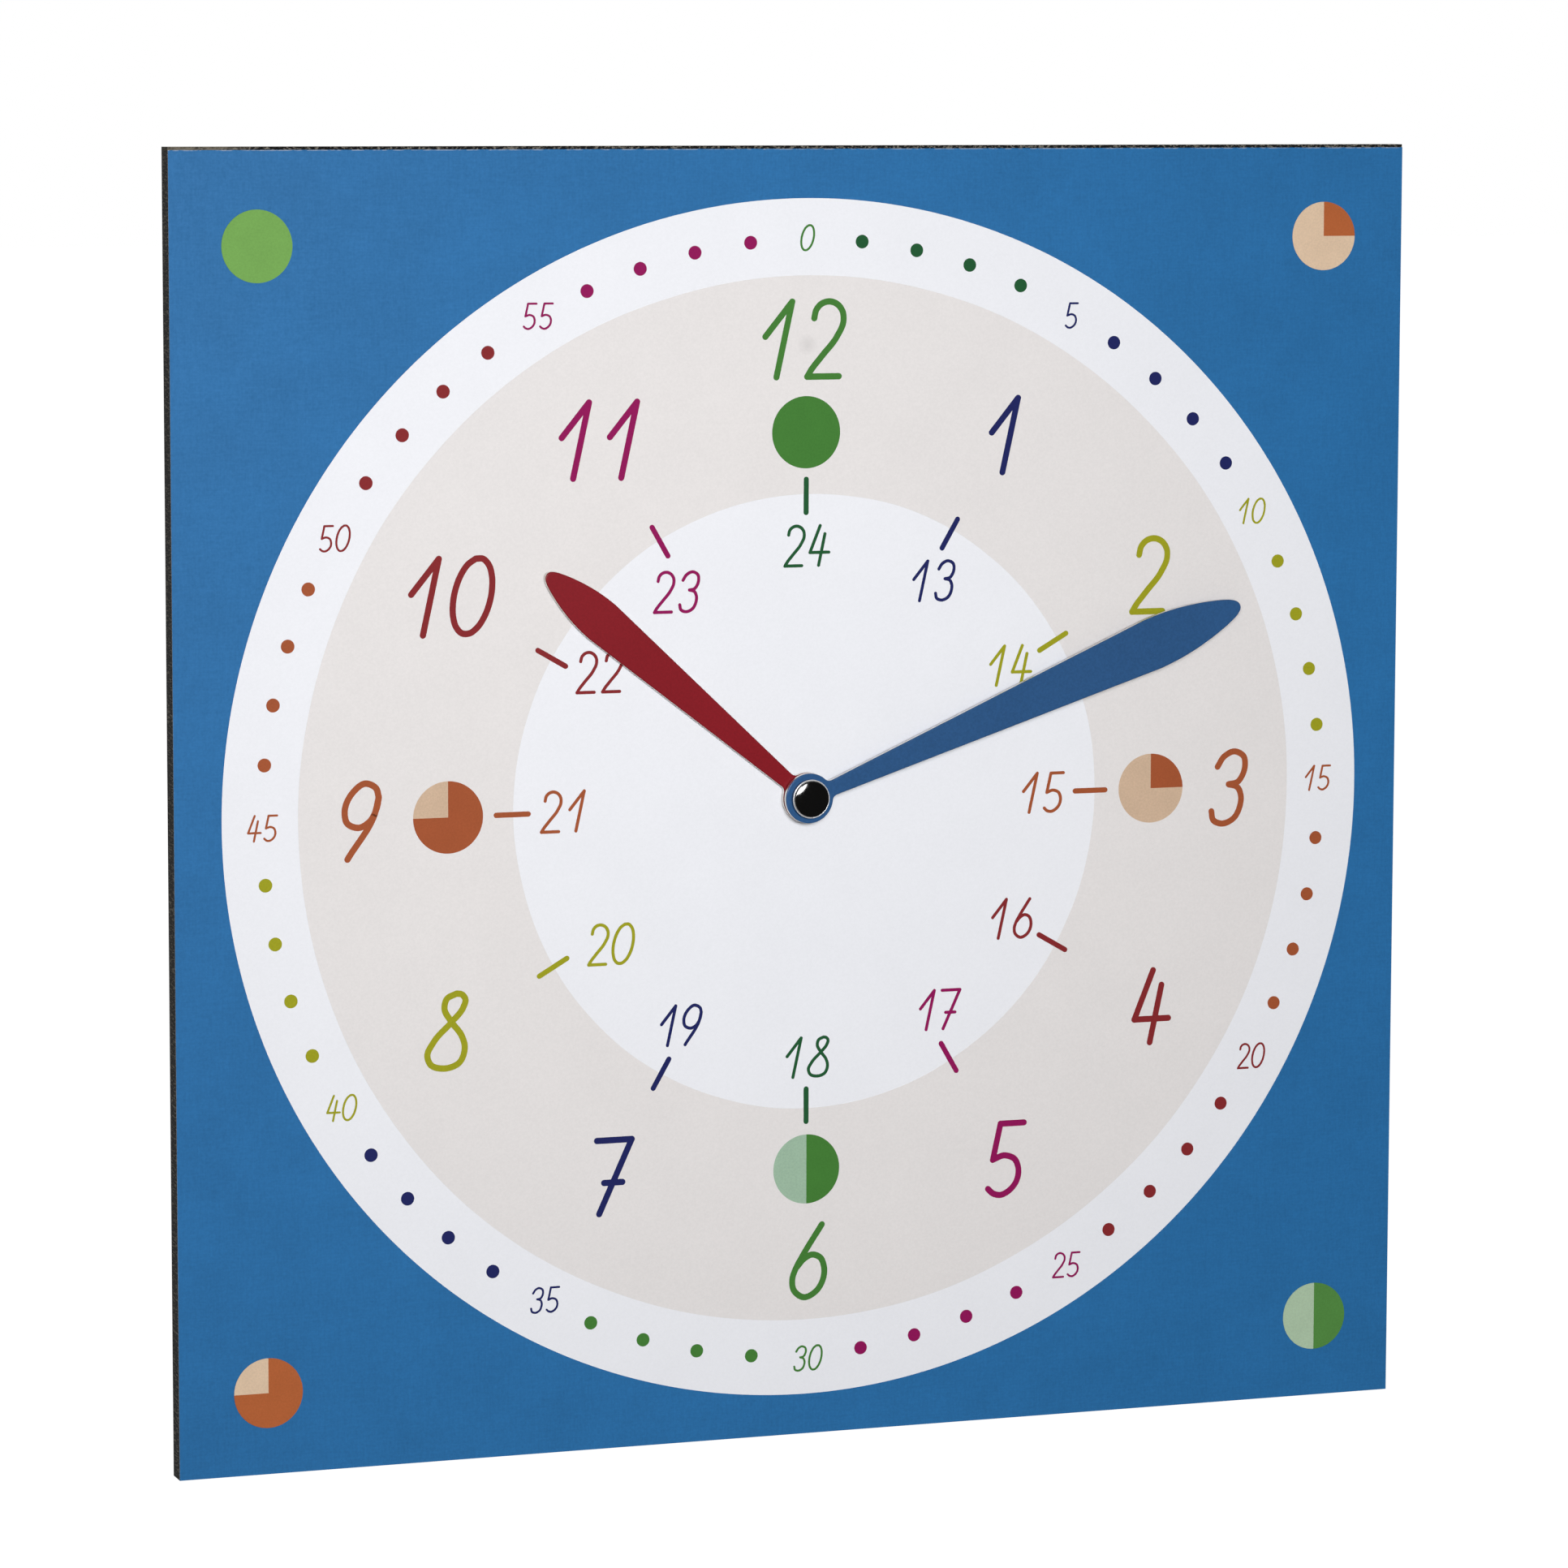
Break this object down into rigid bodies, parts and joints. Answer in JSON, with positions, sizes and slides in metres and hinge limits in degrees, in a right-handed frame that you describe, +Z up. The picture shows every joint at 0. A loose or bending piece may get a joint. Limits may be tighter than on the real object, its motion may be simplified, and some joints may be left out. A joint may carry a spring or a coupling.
{
  "type": "teaching wall clock",
  "caption": "Square teaching wall clock: printed dial board, leaf-shaped hour and minute hands, quartz movement with gear train, setting knob and battery bay, and a clip-on hanger behind.",
  "frame": {"origin": "centre of the hanging hole, on the wall plane at the back of the movement", "axes": "+Y towards the wall, so the dial faces -Y; +Z up; +X to the viewer's right"},
  "size_m": [0.3, 0.0284, 0.3],
  "materials": {
    "board_fibre": "dark dyed fibre board, matt",
    "dial_paper": "printed paper, satin",
    "hour_paint": "aluminium sheet, red paint",
    "minute_paint": "aluminium sheet, blue paint",
    "bezel_chrome": "polished",
    "cap_black": "polished black",
    "brass": "turned brass",
    "case_plastic": "moulded black plastic, fine spark texture",
    "knob_plastic": "moulded dark grey plastic",
    "gear_plastic": "moulded natural plastic",
    "bridge_plastic": "moulded white plastic",
    "zinc_steel": "zinc plated",
    "spring_steel": "bright spring strip",
    "magnet": "sintered, dark grey",
    "soft_iron": "stamped sheet",
    "copper_wire": "enamelled copper wire",
    "circuit_green": "coated laminate",
    "resin_black": "cast resin",
    "crystal_can": "bright can",
    "cell_wrap": "steel can in a plain printed film"
  },
  "bodies": {
    "clock_body": {"board": "board_fibre", "dial_sheet": "dial_paper", "shaft_bush": "brass", "movement_case": "case_plastic", "rear_cover": "case_plastic", "hanger_clip": "case_plastic", "mounting_screws": "zinc_steel", "train_bridge": "bridge_plastic", "bridge_screws": "zinc_steel", "stator": "soft_iron", "coil_core": "soft_iron", "coil_bobbin": "bridge_plastic", "coil_winding": "copper_wire", "coil_screws": "zinc_steel", "circuit_board": "circuit_green", "chip_cover": "resin_black", "quartz_crystal": "crystal_can", "negative_contact": "spring_steel", "positive_contact": "spring_steel"},
    "minute_hand_arbor": {"minute_arbor": "brass", "minute_hand": "minute_paint", "cap_bezel": "bezel_chrome", "cap_dome": "cap_black", "clutch_spring": "spring_steel", "clutch_collar": "brass"},
    "hour_hand_pipe": {"hour_wheel": "gear_plastic", "hour_hand": "hour_paint"},
    "minute_wheel": {"minute_wheel": "gear_plastic"},
    "setting_knob": {"setting_arbor": "gear_plastic", "setting_knob": "knob_plastic"},
    "rotor": {"rotor_pinion": "gear_plastic", "rotor_magnet": "magnet"},
    "intermediate_wheel": {"intermediate_wheel": "gear_plastic"},
    "second_wheel": {"second_wheel": "gear_plastic"},
    "third_wheel": {"third_wheel": "gear_plastic"},
    "centre_wheel": {"centre_wheel": "gear_plastic"},
    "battery": {"battery_cell": "cell_wrap"}
  },
  "joints": [
    {"name": "minute_hand_turn", "type": "hinge", "parent": "clock_body", "child": "minute_hand_arbor", "pos_m": [0, -0.0175, -0.0355], "axis": [0, 1, 0], "continuous": true},
    {"name": "hour_hand_turn", "type": "hinge", "parent": "clock_body", "child": "hour_hand_pipe", "pos_m": [0, -0.0175, -0.0355], "axis": [0, 1, 0], "continuous": true},
    {"name": "minute_wheel_turn", "type": "hinge", "parent": "clock_body", "child": "minute_wheel", "pos_m": [0.00799, -0.0175, -0.03841], "axis": [0, 1, 0], "continuous": true},
    {"name": "setting_knob_turn", "type": "hinge", "parent": "clock_body", "child": "setting_knob", "pos_m": [0.01596, -0.0175, -0.0338], "axis": [0, 1, 0], "continuous": true},
    {"name": "rotor_turn", "type": "hinge", "parent": "clock_body", "child": "rotor", "pos_m": [0.00767, -0.0175, -0.02237], "axis": [0, 1, 0], "continuous": true},
    {"name": "intermediate_wheel_turn", "type": "hinge", "parent": "clock_body", "child": "intermediate_wheel", "pos_m": [0.00087, -0.0175, -0.02554], "axis": [0, 1, 0], "continuous": true},
    {"name": "second_wheel_turn", "type": "hinge", "parent": "clock_body", "child": "second_wheel", "pos_m": [0, -0.0175, -0.0355], "axis": [0, 1, 0], "continuous": true},
    {"name": "third_wheel_turn", "type": "hinge", "parent": "clock_body", "child": "third_wheel", "pos_m": [-0.0094, -0.0175, -0.03208], "axis": [0, 1, 0], "continuous": true},
    {"name": "centre_wheel_turn", "type": "hinge", "parent": "clock_body", "child": "centre_wheel", "pos_m": [0, -0.0175, -0.0355], "axis": [0, 1, 0], "continuous": true},
    {"name": "battery_slide", "type": "slide", "parent": "clock_body", "child": "battery", "axis": [0, 1, 0], "range_m": [0, 0.03]}
  ],
  "couplings": [
    {"joint": "hour_hand_turn", "follows": "minute_hand_turn", "ratio": 0.083333},
    {"joint": "minute_wheel_turn", "follows": "minute_hand_turn", "ratio": -0.33333},
    {"joint": "setting_knob_turn", "follows": "minute_hand_turn", "ratio": 0.75},
    {"joint": "intermediate_wheel_turn", "follows": "rotor_turn", "ratio": -0.16667},
    {"joint": "second_wheel_turn", "follows": "rotor_turn", "ratio": 0.033333},
    {"joint": "third_wheel_turn", "follows": "rotor_turn", "ratio": -0.0044444},
    {"joint": "centre_wheel_turn", "follows": "rotor_turn", "ratio": 0.00055556}
  ]
}
